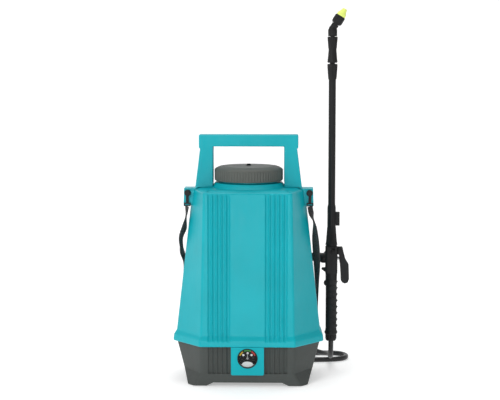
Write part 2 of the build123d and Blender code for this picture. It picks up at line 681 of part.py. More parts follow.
keep("grip_body", grip_body.part)

keep("grip_nut", turned([
    (HOSE_R - 1.2, NUT_BOTTOM), (8, NUT_BOTTOM), (10, NUT_BOTTOM + 4), (10, 65), (11.5, 66.5),
    (11.5, GRIP_LOW), (HOSE_R - 1.2, GRIP_LOW)], LANCE))
keep("valve_cap", turned([
    (6, -10.7), (8.85, -10.7), (8.85, -15), (8.3, -17.6), (7, -20), (5, -21.6), (2.5, -22.3),
    (0, -22.3), (0, -20), (5, -20), (6, -17)],
    (LANCE_X, LANCE_Y, STEM_Z), (1, 0, 0)))
keep("valve_stem", turned([
    (0, -13), (5, -13), (5, -11), (3, -11), (3, 12.6), (1.5, 13.6), (0, 13.6)],
    (LANCE_X, LANCE_Y, STEM_Z), (1, 0, 0)))

with BuildPart() as valve_spring:
    with BuildLine():
        Helix(pitch=1.7, height=5.9, radius=3.6, center=(LANCE_X - 19.45, LANCE_Y, STEM_Z),
              direction=(1, 0, 0))
    spring_start = valve_spring.pending_edges[0]
    with BuildSketch(Plane(spring_start @ 0, z_dir=spring_start % 0)):
        Circle(0.45)
    sweep()
keep("valve_spring", valve_spring.part)

keep("trigger_pin", turned([(0, -9.8), (2.6, -9.8), (2.6, -8.6), (1.5, -8.6), (1.5, 8.6),
                            (2.6, 8.6), (2.6, 9.8), (0, 9.8)],
                           (PIVOT[0], LANCE_Y, PIVOT[1]), (0, 1, 0)))

with BuildPart() as trigger_lever:
    with BuildSketch(Plane.XZ.offset(-LANCE_Y - 8)):
        with BuildLine():
            Polyline((156.4, 217), (158, 221.4), (164.6, 221.4), (166.8, 212), (170, 200),
                     (175.6, 190.6), (176.4, 165), (174.2, 159), (169.4, 156.8), (164.6, 158.6),
                     (161.8, 163), (161.6, 172), (160.4, 190), (158.9, 198), (158.9, 206),
                     (157, 209.6), close=True)
        make_face()
    extrude(amount=16)
    fillet(trigger_lever.edges().filter_by(Axis.Y).group_by(Axis.Z)[0], 3)
    # slot for the lug, hollow behind the lever's back, and the pin's bore
    with BuildSketch(Plane.XZ.offset(-LANCE_Y - 4.4)):
        with BuildLine():
            Polyline((150, 223), (164, 223), (164, 212), (161, 208), (150, 208), close=True)
        make_face()
    extrude(amount=8.8, mode=Mode.SUBTRACT)
    with BuildSketch(Plane.XZ.offset(-LANCE_Y - 10)):
        with Locations(PIVOT):
            Circle(1.56)
    extrude(amount=20, mode=Mode.SUBTRACT)
keep("trigger_lever", trigger_lever.part)

with BuildPart() as trigger_lock:
    with Locations((LANCE_X + 3, LANCE_Y - 10.4, 213.6)):
        Box(4.8, 5.2, 6)
    with Locations((LANCE_X + 3, LANCE_Y - 13.6, 213.6)):
        Box(4, 1.6, 2)
keep("trigger_lock", trigger_lock.part)

# ---------------------------------------------------------------- lance: tubes and nozzle
UNION_LOW = VALVE_TOP + 3
keep("union_nut", turned([
    (TUBE_R, UNION_LOW), (10.6, UNION_LOW), (10.6, 227), (10, 229), (7.7, 258), (TUBE_R, 258)],
    LANCE))
keep("outer_tube", turned([(5, UNION_LOW), (TUBE_R, UNION_LOW), (TUBE_R, TUBE_TOP),
                           (5, TUBE_TOP)], LANCE))
with BuildPart() as tube_clip:
    add(turned([(TUBE_R, 258), (7.5, 258), (7.5, 291), (TUBE_R + 0.6, 296),
                (TUBE_R, 296)], LANCE))
    with Locations((LANCE_X + 10.4, LANCE_Y, 272)):
        Box(7.6, 9, 24)
    add(turned([(0, 250), (TUBE_R, 250), (TUBE_R, 300), (0, 300)], LANCE), mode=Mode.SUBTRACT)
keep("tube_clip", tube_clip.part)

keep("lock_nut", turned([
    (TUBE_R + 0.05, 518), (TUBE_R + 0.8, 518), (8.9, 541), (9, 543), (8.4, 545),
    (INNER_R + 0.3, 545), (INNER_R + 0.3, TUBE_TOP + 0.6), (TUBE_R + 0.05, TUBE_TOP + 0.6)],
    LANCE))
keep("inner_tube", turned([(3, 300), (INNER_R, 300), (INNER_R, 549), (3, 549)], LANCE))
keep("tube_coupling", turned([
    (INNER_R, 547), (8.4, 547), (9, 549), (7, 569), (7, 571.4), (7.4, 572), (9, HEAD_Z - 2.6),
    (8.6, HEAD_Z - 0.6), (4.1, HEAD_Z - 0.6), (4.1, 560), (3, 560), (3, 549),
    (INNER_R, 549)], LANCE))

# elbow: an upright collar, then the leaning outlet that the nozzle turns on
KNEE = Vector(LANCE_X, LANCE_Y, 606)
LEAN_DIR = Vector(sin(radians(LEAN)), 0, cos(radians(LEAN)))
with BuildPart() as elbow:
    add(turned([(0, 575), (4.05, 575), (4.05, HEAD_Z), (7.6, HEAD_Z), (8, HEAD_Z + 2), (8, 604),
                (6.6, 607.4), (0, 607.4)], LANCE))
    with Locations(KNEE):
        Sphere(6.8)
    add(turned([(0, 0), (6.2, 0), (6.2, 10), (4.4, 10), (4.4, 26), (0, 26)],
               tuple(KNEE), tuple(LEAN_DIR)))
    add(turned([(0, 574), (2.5, 574), (2.5, 606), (0, 606)], LANCE), mode=Mode.SUBTRACT)
    add(turned([(0, 0), (2.5, 0), (2.5, 28), (0, 28)], tuple(KNEE), tuple(LEAN_DIR)),
        mode=Mode.SUBTRACT)
keep("elbow", elbow.part)
keep("nozzle_nut", turned([
    (4.45, 10.4), (7.2, 10.4), (9.4, 13), (9.4, 24), (8.4, 26.4), (4.45, 26.4)],
    tuple(KNEE), tuple(LEAN_DIR)))
keep("nozzle_tip", turned([
    (0.6, 26.4), (8.2, 26.4), (7.8, 31), (6, 34), (4, 40), (3.4, 41), (0.6, 41)],
    tuple(KNEE), tuple(LEAN_DIR)))

# ---------------------------------------------------------------- holder for the lance
HOLDER_Y = LANCE_Y + 15
with BuildPart() as lance_holder:
    with BuildSketch(Plane((0, HOLDER_Y, 0), x_dir=(-1, 0, 0), z_dir=(0, 1, 0))):
        with BuildLine():
            Polyline((-84, 194), (-150, 194), (-154.4, 198), (-154.4, 214), (-149.3, 214),
                     (-149.3, HOOK_Z), (-145, 198.7), (-140.7, HOOK_Z), (-140.7, 214),
                     (-136, 214), (-132, 208), (-84, 208), close=True)
        make_face()
    extrude(amount=5)
    with BuildSketch(Plane((LANCE_X, HOLDER_Y, HOOK_Z), x_dir=(1, 0, 0), z_dir=(0, 1, 0))):
        Circle(4.3)
    extrude(amount=5, mode=Mode.SUBTRACT)
    with Locations((94, HOLDER_Y - 7, 201)):
        Box(20, 24, 30)
    add(layers((RIM_Z, TANK_LOW, 0), (SHOULDER_Z, TANK_HIGH, 0)), mode=Mode.SUBTRACT)
keep("lance_holder", lance_holder.part)

# ---------------------------------------------------------------- hose
# one long loop on the floor behind the base, then up over it to the lance
LEAD_ROUTE = [
    (60, 100, 32), (60, 119, 31), (61, 137, 23), (66, 153, 13), (76, 167, 6.5), (91, 177, 4.5),
    (115, 181, 4.5), (159.1, 181, 4.5), (175.5, 164.6, 4.5), (175.5, 141.4, 4.5),
    (159.1, 125, 4.5), (120, 120.5, 4.5), (62, 117, 4.5), (0, 116.5, 4.5), (-48, 118, 4.5),
    (-82, 122, 4.5), (-107, 147, 4.5), (-107, 182, 4.5), (-82, 207, 4.5), (-44, 210, 4.5),
    (14, 209.5, 4.5), (56, 206, 4.5),
]
RISER_ROUTE = [
    (56, 206, 4.5), (68, 205, 4.5), (82, 202, 8.5), (95, 194.5, 13.5), (106, 182, 15.4),
    (115, 167, 14.6), (127, 153.5, 11), (139, 140.5, 12.4), (144.6, 125, 15),
    (145.2, 108, 15.8), (145, 92, 17.4), (144.9, 77, 21), (145, 65.5, 29.8), (145, 60, 41.1),
    (145, 60, 53),
]
keep("hose_lead", hose(LEAD_ROUTE, HOSE_R, "hose_lead"))
keep("hose_riser", hose(RISER_ROUTE, HOSE_R, "hose_riser"))
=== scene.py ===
"""Battery backpack sprayer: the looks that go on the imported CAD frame.

Lengths are in metres. Places inside the sprayer are given from the tank's own axis on the floor,
x to the right, y to the back and z up, and place() turns them into the frame of the part.
"""

import json
import math

import bpy
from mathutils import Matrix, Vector


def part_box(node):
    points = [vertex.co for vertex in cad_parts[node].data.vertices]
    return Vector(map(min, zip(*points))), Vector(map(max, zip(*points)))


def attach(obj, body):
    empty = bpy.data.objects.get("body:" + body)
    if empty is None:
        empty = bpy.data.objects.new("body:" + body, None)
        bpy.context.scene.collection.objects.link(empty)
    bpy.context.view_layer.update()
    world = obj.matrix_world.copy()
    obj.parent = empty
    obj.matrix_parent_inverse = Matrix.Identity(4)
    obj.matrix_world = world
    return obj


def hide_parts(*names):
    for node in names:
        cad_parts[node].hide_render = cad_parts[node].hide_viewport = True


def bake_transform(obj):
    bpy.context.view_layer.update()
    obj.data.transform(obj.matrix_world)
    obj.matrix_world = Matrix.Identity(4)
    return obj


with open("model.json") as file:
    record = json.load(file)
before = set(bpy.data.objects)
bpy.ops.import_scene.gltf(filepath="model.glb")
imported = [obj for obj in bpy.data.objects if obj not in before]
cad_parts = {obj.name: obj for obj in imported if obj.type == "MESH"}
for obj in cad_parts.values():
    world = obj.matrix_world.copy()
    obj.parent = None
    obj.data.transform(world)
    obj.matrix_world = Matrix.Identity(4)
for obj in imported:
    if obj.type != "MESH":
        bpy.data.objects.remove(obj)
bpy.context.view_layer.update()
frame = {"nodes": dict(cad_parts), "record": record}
NODES = frame["nodes"]
MM = 0.001

# ---------------------------------------------------------------- places read from the frame
LID_LOW, LID_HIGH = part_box("lid_shell")
AXIS = Vector(((LID_LOW.x + LID_HIGH.x) / 2, (LID_LOW.y + LID_HIGH.y) / 2, 0))
TUBE_LOW, TUBE_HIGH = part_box("outer_tube")
LANCE_AXIS = Vector(((TUBE_LOW.x + TUBE_HIGH.x) / 2, (TUBE_LOW.y + TUBE_HIGH.y) / 2, 0))
JOINTS = {joint["name"]: joint for joint in frame["record"]["behaviour"]["joints"]}
DIAL_AT = Vector(JOINTS["gauge_needle_swing"]["pos_m"])
DIAL_OUT = Vector(JOINTS["gauge_needle_swing"]["axis"])
NOZZLE_AT = Vector(JOINTS["nozzle_turn"]["pos_m"])
NOZZLE_OUT = Vector(JOINTS["nozzle_turn"]["axis"])
PARTING_FORWARD = 6.5 * MM  # the tank's parting line, in front of its axis


def place(x, y, z):
    """A point given from the tank's axis, in the frame of the part."""
    return AXIS + Vector((x, y, z))


# ---------------------------------------------------------------- materials
def srgb(red, green, blue):
    """A display colour, 0 to 255, as linear RGBA."""
    linear = []
    for value in (red, green, blue):
        share = value / 255
        linear.append(share / 12.92 if share <= 0.04045 else ((share + 0.055) / 1.055) ** 2.4)
    return (*linear, 1)


def shade(colour, factor):
    """A linear colour made lighter or darker."""
    return (*(min(1, channel * factor) for channel in colour[:3]), 1)


class Surface:
    """A node material under construction, with short calls for the nodes used here."""

    def __init__(self, name):
        self.material = bpy.data.materials.new(name)
        self.material.use_nodes = True
        self.nodes = self.material.node_tree.nodes
        self.links = self.material.node_tree.links
        self.shader = self.nodes["Principled BSDF"]
        self.coordinates = self.nodes.new("ShaderNodeTexCoord")
        self.last_bump = None

    def link(self, source, target):
        """Joins an output to an input."""
        self.links.new(source, target)

    def noise(self, scale, detail=2, roughness=0.5, stretch=None, source="Object"):
        """Noise at so many features to the metre, stretched along x, y and z if asked."""
        made = self.nodes.new("ShaderNodeTexNoise")
        made.inputs["Scale"].default_value = scale
        made.inputs["Detail"].default_value = detail
        made.inputs["Roughness"].default_value = roughness
        place_from = self.coordinates.outputs[source]
        if stretch:
            mapping = self.nodes.new("ShaderNodeMapping")
            mapping.inputs["Scale"].default_value = stretch
            self.link(place_from, mapping.inputs["Vector"])
            place_from = mapping.outputs["Vector"]
        self.link(place_from, made.inputs["Vector"])
        return made.outputs["Fac"]

    def spread(self, value, low, high, from_low=0.3, from_high=0.7):
        """A texture's value mapped to a range of its own."""
        made = self.nodes.new("ShaderNodeMapRange")
        made.inputs["From Min"].default_value = from_low
        made.inputs["From Max"].default_value = from_high
        made.inputs["To Min"].default_value = low
        made.inputs["To Max"].default_value = high
        self.link(value, made.inputs["Value"])
        return made.outputs["Result"]

    def math(self, operation, first, second=None):
        """Arithmetic on numbers or outputs."""
        made = self.nodes.new("ShaderNodeMath")
        made.operation = operation
        for value, socket in ((first, made.inputs[0]), (second, made.inputs[1])):
            if isinstance(value, (int, float)):
                socket.default_value = value
            elif value is not None:
                self.link(value, socket)
        return made.outputs["Value"]

    def axis(self, name, source="Object"):
        """One coordinate, in metres."""
        made = self.nodes.new("ShaderNodeSeparateXYZ")
        self.link(self.coordinates.outputs[source], made.inputs["Vector"])
        return made.outputs[name]

    def blend(self, share, first, second):
        """A colour between two others; each is a colour or another node's output."""
        made = self.nodes.new("ShaderNodeMix")
        made.data_type = "RGBA"
        self.link(share, made.inputs["Factor"])
        for value, socket in ((first, made.inputs[6]), (second, made.inputs[7])):
            if isinstance(value, tuple):
                socket.default_value = value
            else:
                self.link(value, socket)
        return made.outputs[2]

    def bump(self, height, depth, strength=1.0):
        """Relief of that depth in metres; several calls add up."""
        made = self.nodes.new("ShaderNodeBump")
        made.inputs["Distance"].default_value = depth
        made.inputs["Strength"].default_value = strength
        self.link(height, made.inputs["Height"])
        if self.last_bump:
            self.link(self.last_bump, made.inputs["Normal"])
        self.last_bump = made.outputs["Normal"]
        self.link(self.last_bump, self.shader.inputs["Normal"])

    def colour(self, value):
        """The base colour: a plain one, or a node's output."""
        if isinstance(value, tuple):
            self.shader.inputs["Base Color"].default_value = value
        else:
            self.link(value, self.shader.inputs["Base Color"])

    def set(self, **values):
        """Uniform values for the shader's sockets, named with underscores for spaces."""
        for name, value in values.items():
            self.shader.inputs[name.replace("_", " ")].default_value = value


def moulded(name, colour, roughness, grain=900, grain_depth=0.00004, mottle=0.05, wave=0.0):
    """Moulded plastic: cloudy colour, fine mould grain, faint scuffs and, if asked, a wavy wall."""
    made = Surface(name)
    clouds = made.spread(made.noise(14, detail=3), 0, 1)
    made.colour(made.blend(clouds, shade(colour, 1 - mottle), shade(colour, 1 + mottle)))
    scuffs = made.noise(160, detail=4, roughness=0.65, stretch=(1, 1, 0.25))
    made.link(
        made.spread(scuffs, roughness - 0.04, roughness + 0.06), made.shader.inputs["Roughness"]
    )
    if wave:
        made.bump(made.noise(9, detail=1), wave)
    made.bump(made.noise(grain, detail=3), grain_depth)
    made.set(Specular_IOR_Level=0.2)
    return made


def tank_plastic():
    """Blow-moulded turquoise with the mould's parting line down the flanks."""
    made = moulded("turquoise_tank", TURQUOISE, 0.4, grain=700, grain_depth=0.00003, wave=0.0006)
    across = made.math("SUBTRACT", made.axis("Y"), AXIS.y - PARTING_FORWARD)
    ridge = made.spread(made.math("ABSOLUTE", across), 1, 0, 0.0002, 0.0006)
    made.bump(ridge, 0.0002)
    made.set(Specular_IOR_Level=0.28)
    return made.material


def webbing_cloth():
    """Woven polyester webbing: ribs across, warp threads along, and a tight selvedge."""
    made = Surface("webbing_cloth")
    row_pitch, thread_pitch = 1.3 * MM, 1.1 * MM
    length, width = made.axis("X", "UV"), made.axis("Y", "UV")
    row = made.math("SINE", made.math("MULTIPLY", length, 2 * math.pi / row_pitch))
    thread = made.math("SINE", made.math("MULTIPLY", width, 2 * math.pi / thread_pitch))
    weave = made.math("MULTIPLY", row, thread)
    fuzz = made.spread(made.noise(1500, detail=2), 0, 1)
    dark = made.blend(fuzz, srgb(24, 24, 26), srgb(46, 46, 48))
    made.colour(made.blend(made.spread(weave, 0, 1, -1, 1), dark, srgb(58, 58, 60)))
    made.bump(weave, 0.0002)
    made.bump(row, 0.0003)
    made.set(Roughness=0.85, Sheen_Weight=0.25, Sheen_Roughness=0.5, Specular_IOR_Level=0.2)
    return made.material


def hose_pvc():
    """Black PVC hose: a satin skin with faint draw lines along it."""
    made = Surface("hose_pvc")
    clouds = made.spread(made.noise(60, detail=3), 0, 1)
    made.colour(made.blend(clouds, srgb(30, 30, 31), srgb(44, 44, 45)))
    made.link(made.spread(made.noise(300, detail=4), 0.32, 0.48), made.shader.inputs["Roughness"])
    made.bump(made.noise(1100, detail=2), 0.00003)
    made.set(Specular_IOR_Level=0.45)
    return made.material


def steel(name, colour, roughness):
    """Metal with fine brushing."""
    made = Surface(name)
    brushed = made.noise(700, detail=3, stretch=(1, 1, 8))
    made.colour(made.blend(made.spread(brushed, 0, 1), shade(colour, 0.8), colour))
    made.link(
        made.spread(brushed, roughness - 0.08, roughness + 0.1), made.shader.inputs["Roughness"]
    )
    made.bump(brushed, 0.00001)
    made.set(Metallic=1.0)
    return made.material


def printed(name, colour):
    """Ink on the gauge's dial."""
    made = Surface(name)
    speckle = made.spread(made.noise(2500), 0, 1)
    made.colour(made.blend(speckle, shade(colour, 0.92), colour))
    made.set(Roughness=0.55)
    return made.material


def clear_plastic():
    """The gauge's window: thin clear acrylic."""
    made = Surface("clear_window")
    haze = made.noise(400, detail=2)
    made.link(made.spread(haze, 0.02, 0.06), made.shader.inputs["Roughness"])
    made.set(Base_Color=srgb(40, 44, 46), Alpha=0.03, Specular_IOR_Level=0.5)
    return made.material


TURQUOISE = srgb(0, 171, 183)
BASE_GREY = srgb(74, 78, 76)
LID_GREY = srgb(92, 95, 91)
BLACK = srgb(34, 34, 35)
NOZZLE_YELLOW = srgb(238, 252, 132)

TANK_PLASTIC = tank_plastic()
HANDLE_PLASTIC = moulded("turquoise_handle", TURQUOISE, 0.38, wave=0.0003).material
BASE_PLASTIC = moulded("grey_base", BASE_GREY, 0.55, grain=1300, grain_depth=0.00012).material
LID_PLASTIC = moulded("grey_lid", LID_GREY, 0.5, grain=1300, grain_depth=0.00008).material
BLACK_PLASTIC = moulded("black_plastic", BLACK, 0.46, grain=1500, grain_depth=0.00008).material
GRIP_PLASTIC = moulded("black_grip", srgb(40, 40, 41), 0.55, grain=1700, grain_depth=0.0001).material
RUBBER = moulded("black_rubber", srgb(24, 24, 24), 0.75, grain=2200, grain_depth=0.0001).material
YELLOW_PLASTIC = moulded("yellow_plastic", NOZZLE_YELLOW, 0.36, mottle=0.03).material
BATTERY_CASE = moulded("battery_case", srgb(52, 54, 58), 0.6).material
WHITE_PLASTIC = moulded("white_plastic", srgb(232, 232, 228), 0.4, mottle=0.02).material
DIAL_BLACK = moulded("dial_black", srgb(20, 20, 21), 0.5, grain=2500).material
WEBBING = webbing_cloth()
HOSE_PVC = hose_pvc()
STEEL = steel("brushed_steel", srgb(190, 192, 195), 0.3)
NEEDLE_GREY = printed("needle_grey", srgb(150, 152, 152))
INK_RED = printed("ink_red", srgb(196, 40, 34))
INK_GREEN = printed("ink_green", srgb(60, 150, 62))
INK_AMBER = printed("ink_amber", srgb(222, 178, 30))
INK_WHITE = printed("ink_white", srgb(226, 230, 230))
INK_SILVER = printed("ink_silver", srgb(150, 158, 160))
WINDOW = clear_plastic()

# the CAD nodes of each finish
FINISHES = [
    (HANDLE_PLASTIC, ("handle", "control_panel")),
    (TANK_PLASTIC, ("tank",)),
    (BASE_PLASTIC, ("base_tub", "lance_holder", "strap_anchors")),
    (LID_PLASTIC, ("lid_shell",)),
    (GRIP_PLASTIC, ("grip_body", "trigger_lever")),
    (BLACK_PLASTIC, (
        "lid_vent", "gauge_housing", "switch_housing", "switch_rocker", "charge_socket",
        "outlet_fitting", "outlet_nut", "pump_head", "tank_outlet", "strap_buttons", "strap_links",
        "strap_adjusters", "grip_nut", "valve_cap", "trigger_lock", "union_nut", "outer_tube",
        "tube_clip", "trigger_pin", "lock_nut", "inner_tube", "tube_coupling", "elbow", "nozzle_nut",
    )),
    (RUBBER, ("rubber_feet", "charge_cap", "lid_gasket", "pump_mounts", "suction_hose",
              "delivery_hose")),
    (HOSE_PVC, ("hose_lead", "hose_riser")),
    (WEBBING, ("strap_left", "strap_right")),
    (DIAL_BLACK, ("gauge_face",)),
    (NEEDLE_GREY, ("gauge_needle",)),
    (WINDOW, ("gauge_lens",)),
    (STEEL, ("base_screws", "cap_hinge", "battery_clamp", "pump_motor", "valve_spring",
             "valve_stem")),
    (YELLOW_PLASTIC, ("nozzle_tip",)),
    (BATTERY_CASE, ("battery_pack",)),
    (WHITE_PLASTIC, ("filler_strainer",)),
]


def finish_cad_nodes():
    """Each CAD node gets its finish."""
    for material, names in FINISHES:
        for name in names:
            NODES[name].data.materials.clear()
            NODES[name].data.materials.append(material)


finish_cad_nodes()


# ---------------------------------------------------------------- mesh helpers
POINTS_PER_RIB = 6


def mesh_piece(name, points, faces, material, body, stands_for=(), sharp=35):
    """A mesh that rides on a body, smooth but for edges sharper than the given angle."""
    mesh = bpy.data.meshes.new(name)
    mesh.from_pydata([tuple(p) for p in points], [], faces)
    mesh.materials.append(material)
    mesh.validate()
    mesh.polygons.foreach_set("use_smooth", [True] * len(mesh.polygons))
    mesh.set_sharp_from_angle(angle=math.radians(sharp))
    piece = bpy.data.objects.new(name, mesh)
    bpy.context.scene.collection.objects.link(piece)
    even = piece.modifiers.new("even_shading", "WEIGHTED_NORMAL")
    even.keep_sharp = True
    if body:
        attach(piece, body)
    if stands_for:
        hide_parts(*stands_for)
    return piece


def ring_faces(rings, closed_round=True):
    """Quads between successive rings of the same number of points."""
    count = len(rings[0])
    faces = []
    for level in range(len(rings) - 1):
        for i in range(count if closed_round else count - 1):
            j = (i + 1) % count
            low, high = level * count, (level + 1) * count
            faces.append((low + i, low + j, high + j, high + i))
    return faces


def spun(name, profile, base, along, material, body, stands_for=(), ribs=None, around=96):
    """A turned piece from (radius, height) points, with upright ribs between two heights.

    ribs is (count, depth, low, high): the radius dips by depth between ribs from low to high.
    """
    along = Vector(along).normalized()
    side = along.orthogonal().normalized() if abs(along.z) < 0.999 else Vector((1, 0, 0))
    front = along.cross(side)
    if ribs:
        around = ribs[0] * POINTS_PER_RIB
    rings = []
    for radius, height in profile:
        ring = []
        for i in range(around):
            turn = 2 * math.pi * i / around
            reach = radius
            if ribs and ribs[2] <= height <= ribs[3]:
                reach -= ribs[1] * (0.5 - 0.5 * math.cos(turn * ribs[0])) ** 2
            out = side * math.cos(turn) + front * math.sin(turn)
            ring.append(base + along * height + out * reach)
        rings.append(ring)
    points = [p for ring in rings for p in ring]
    return mesh_piece(name, points, ring_faces(rings), material, body, stands_for)


def in_metres(profile):
    """A profile that is written in millimetres."""
    return [(radius * MM, height * MM) for radius, height in profile]


# ---------------------------------------------------------------- hose
HOSE_R = 0.0045
LEAD_ROUTE = [
    (0.060, 0.100, 0.032), (0.060, 0.119, 0.031), (0.061, 0.137, 0.023), (0.066, 0.153, 0.013),
    (0.076, 0.167, 0.0065), (0.091, 0.177, 0.0045), (0.115, 0.181, 0.0045),
    (0.1591, 0.181, 0.0045), (0.1755, 0.1646, 0.0045), (0.1755, 0.1414, 0.0045),
    (0.1591, 0.125, 0.0045), (0.120, 0.1205, 0.0045), (0.062, 0.117, 0.0045),
    (0.0, 0.1165, 0.0045), (-0.048, 0.118, 0.0045), (-0.082, 0.122, 0.0045),
    (-0.107, 0.147, 0.0045), (-0.107, 0.182, 0.0045), (-0.082, 0.207, 0.0045),
    (-0.044, 0.210, 0.0045), (0.014, 0.2095, 0.0045), (0.056, 0.206, 0.0045),
]
RISER_ROUTE = [
    (0.056, 0.206, 0.0045), (0.068, 0.205, 0.0045), (0.082, 0.202, 0.0085),
    (0.095, 0.1945, 0.0135), (0.106, 0.182, 0.0154), (0.115, 0.167, 0.0146),
    (0.127, 0.1535, 0.011), (0.139, 0.1405, 0.0124), (0.1446, 0.125, 0.015),
    (0.1452, 0.108, 0.0158), (0.145, 0.092, 0.0174), (0.1449, 0.077, 0.021),
    (0.145, 0.0655, 0.0298), (0.145, 0.060, 0.0411), (0.145, 0.060, 0.053),
]


def route_curve(name, points):
    """A smooth NURBS curve with these control points."""
    data = bpy.data.curves.new(name, "CURVE")
    data.dimensions = "3D"
    spline = data.splines.new("NURBS")
    spline.points.add(len(points) - 1)
    for i, point in enumerate(points):
        spline.points[i].co = (*place(*point), 1)
    spline.order_u = 3
    spline.use_endpoint_u = True
    spline.resolution_u = 8
    piece = bpy.data.objects.new(name, data)
    bpy.context.scene.collection.objects.link(piece)
    return piece


def line_of(curve):
    """The points down a curve that has no bevel."""
    mesh = bpy.data.meshes.new_from_object(curve)
    points = [v.co.copy() for v in mesh.vertices]
    bpy.data.meshes.remove(mesh)
    return points


def tube_rings(line, radius, around):
    """Rings square to a line, turned as little as possible from one to the next."""
    rings = []
    across = None
    for i, here in enumerate(line):
        ahead = (line[min(i + 1, len(line) - 1)] - line[max(i - 1, 0)]).normalized()
        across = ahead.orthogonal() if across is None else across - ahead * across.dot(ahead)
        across.normalize()
        up = ahead.cross(across)
        rings.append([
            here + (across * math.cos(turn) + up * math.sin(turn)) * radius
            for turn in (2 * math.pi * j / around for j in range(around))
        ])
    return rings


def make_hose():
    """The hose: a long loop on the floor from the outlet, then up to the lance."""
    lead = route_curve("hose_on_floor", LEAD_ROUTE)
    lead_line = line_of(lead)
    lead.data.bevel_depth = HOSE_R
    lead.data.bevel_resolution = 6
    lead.data.use_fill_caps = True
    lead.data.materials.append(HOSE_PVC)
    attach(lead, "sprayer")
    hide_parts("hose_lead")

    bare = route_curve("riser_route", RISER_ROUTE)
    riser_line = line_of(bare)
    bpy.data.objects.remove(bare)
    rings = tube_rings(riser_line, HOSE_R, 20)
    points = [p for ring in rings for p in ring]
    riser = mesh_piece("hose_to_lance", points, ring_faces(rings), HOSE_PVC, None,
                       ("hose_riser",))
    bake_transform(riser)


make_hose()

# ---------------------------------------------------------------- tank
# all of this section is in millimetres until place() and MM turn it into metres
# plans of the tank: half widths in front, at the widest corner and behind, with their depths
TANK_LOW = dict(front=79, wide=125, back=95, front_y=-82, wide_y=-25, side_y=50, back_y=84)
TANK_HIGH = dict(front=75, wide=97, back=72, front_y=-75, wide_y=-5, side_y=42, back_y=74)
RIM_Z, SHOULDER_Z = 81, 330
SKIRT_OUT = 4               # how far the skirt stands out from the wall
SKIRT_EDGE = [(69.8, 1.5), (69.5, 2.3), (69.9, 3.1), (70.9, 3.7), (72.5, 3.95), (77, SKIRT_OUT)]
FLARE_LOW, FLARE_HIGH = 79, 89
FLARE_RINGS = (78, 79, 80, 81, 82, 83, 84, 85, 86, 87, 88, 90, 92)
WALL_RINGS = (130, 170, 210, 250, 290, 318, 325, 327.5, 328.8)
SHOULDER_EDGE = [(329.8, -0.4), (330.6, -1.2), (331.3, -2.6), (333.6, -8), (334.4, -10.5)]
NECK_PROFILE = [
    (65, 334.8), (62.8, 335.6), (58.4, 342.3), (57.4, 343), (51, 343.1), (50, 344), (50, 357),
    (49.2, 358), (46.8, 358), (46, 357), (46, 327),
]
FRONT_CORNER_R, CORNER_R, CORNER_STEPS = 5.5, 9, 6
GROOVE_MIDDLES = [side * 48.4 + 7.9 * i for side in (-1, 1) for i in range(-2, 3)]
GROOVE_HALF, GROOVE_DEPTH = 3.4, 2.6
GROOVE_LIP, LIP_DEPTH = 0.3, 0.12
GROOVES_START, GROOVES_END = (77, 82), (331, 325)   # heights where they run in and out
GROOVE_RADIUS = (GROOVE_HALF**2 + GROOVE_DEPTH**2) / (2 * GROOVE_DEPTH)
GROOVE_STEPS = (0, 0.9, 1.8, 2.6, 3.1, 3.4, 3.7)
WALL_STEPS = 16             # steps along each plain side, so that the neck comes out round


def smooth(value, low, high):
    """Goes from 0 at low to 1 at high with soft ends; high may be the smaller."""
    share = min(1, max(0, (value - low) / (high - low)))
    return share * share * (3 - 2 * share)


def groove(x):
    """Depth of the front's upright grooves at x, in millimetres."""
    off = min(abs(x - middle) for middle in GROOVE_MIDDLES)
    if off >= GROOVE_HALF + GROOVE_LIP:
        return 0
    if off >= GROOVE_HALF:
        return LIP_DEPTH
    return math.sqrt(GROOVE_RADIUS**2 - off**2) - (GROOVE_RADIUS - GROOVE_DEPTH)


def front_places():
    """Places across the front where the grooves need points."""
    places = {-24, -16, -8, 0, 8, 16, 24}
    for middle in GROOVE_MIDDLES:
        for step in GROOVE_STEPS:
            places.update((round(middle - step, 2), round(middle + step, 2)))
    return sorted(places)


def corners_of(plan, grow):
    """The eight corners of a plan, anticlockwise from the front left, grown outwards."""
    right = [(plan["front"], plan["front_y"]), (plan["wide"], plan["wide_y"]),
             (plan["wide"] - 3, plan["side_y"]), (plan["back"], plan["back_y"])]
    corners = [Vector(p) for p in right + [(-x, y) for x, y in reversed(right)]]
    corners = corners[-1:] + corners[:-1]
    grown = []
    for before, here, after in zip(corners[-1:] + corners, corners, corners[1:] + corners[:1]):
        out_in = Vector(((here - before).y, -(here - before).x)).normalized()
        out_on = Vector(((after - here).y, -(after - here).x)).normalized()
        grown.append(here + (out_in + out_on) * grow / (1 + out_in.dot(out_on)))
    return grown


def plan_ring(plan, z, grow=0.0, grooved=0.0):
    """Points round the housing at one height, with rounded corners and the front's grooves."""
    corners = corners_of(plan, grow)
    arcs = []
    for i, here in enumerate(corners):
        run_in = (here - corners[i - 1]).normalized()
        run_on = (corners[(i + 1) % 8] - here).normalized()
        radius = FRONT_CORNER_R if i in (0, 1) else CORNER_R
        turn = run_in.angle_signed(run_on)
        reach = radius * math.tan(abs(turn) / 2)
        centre = here - run_in * reach + Vector((-run_in.y, run_in.x)) * radius
        start = math.atan2(-run_in.x, run_in.y)
        angles = [start + abs(turn) * k / CORNER_STEPS for k in range(CORNER_STEPS + 1)]
        arcs.append([centre + Vector((math.cos(a), math.sin(a))) * radius for a in angles])
    ring = []
    for i, arc in enumerate(arcs):
        ring += arc
        if i == 0:
            ring += [Vector((x, arc[-1].y + grooved * groove(x))) for x in front_places()]
        else:
            following = arcs[(i + 1) % 8][0]
            ring += [arc[-1].lerp(following, k / WALL_STEPS) for k in range(1, WALL_STEPS)]
    return [place(p.x * MM, p.y * MM, z * MM) for p in ring]


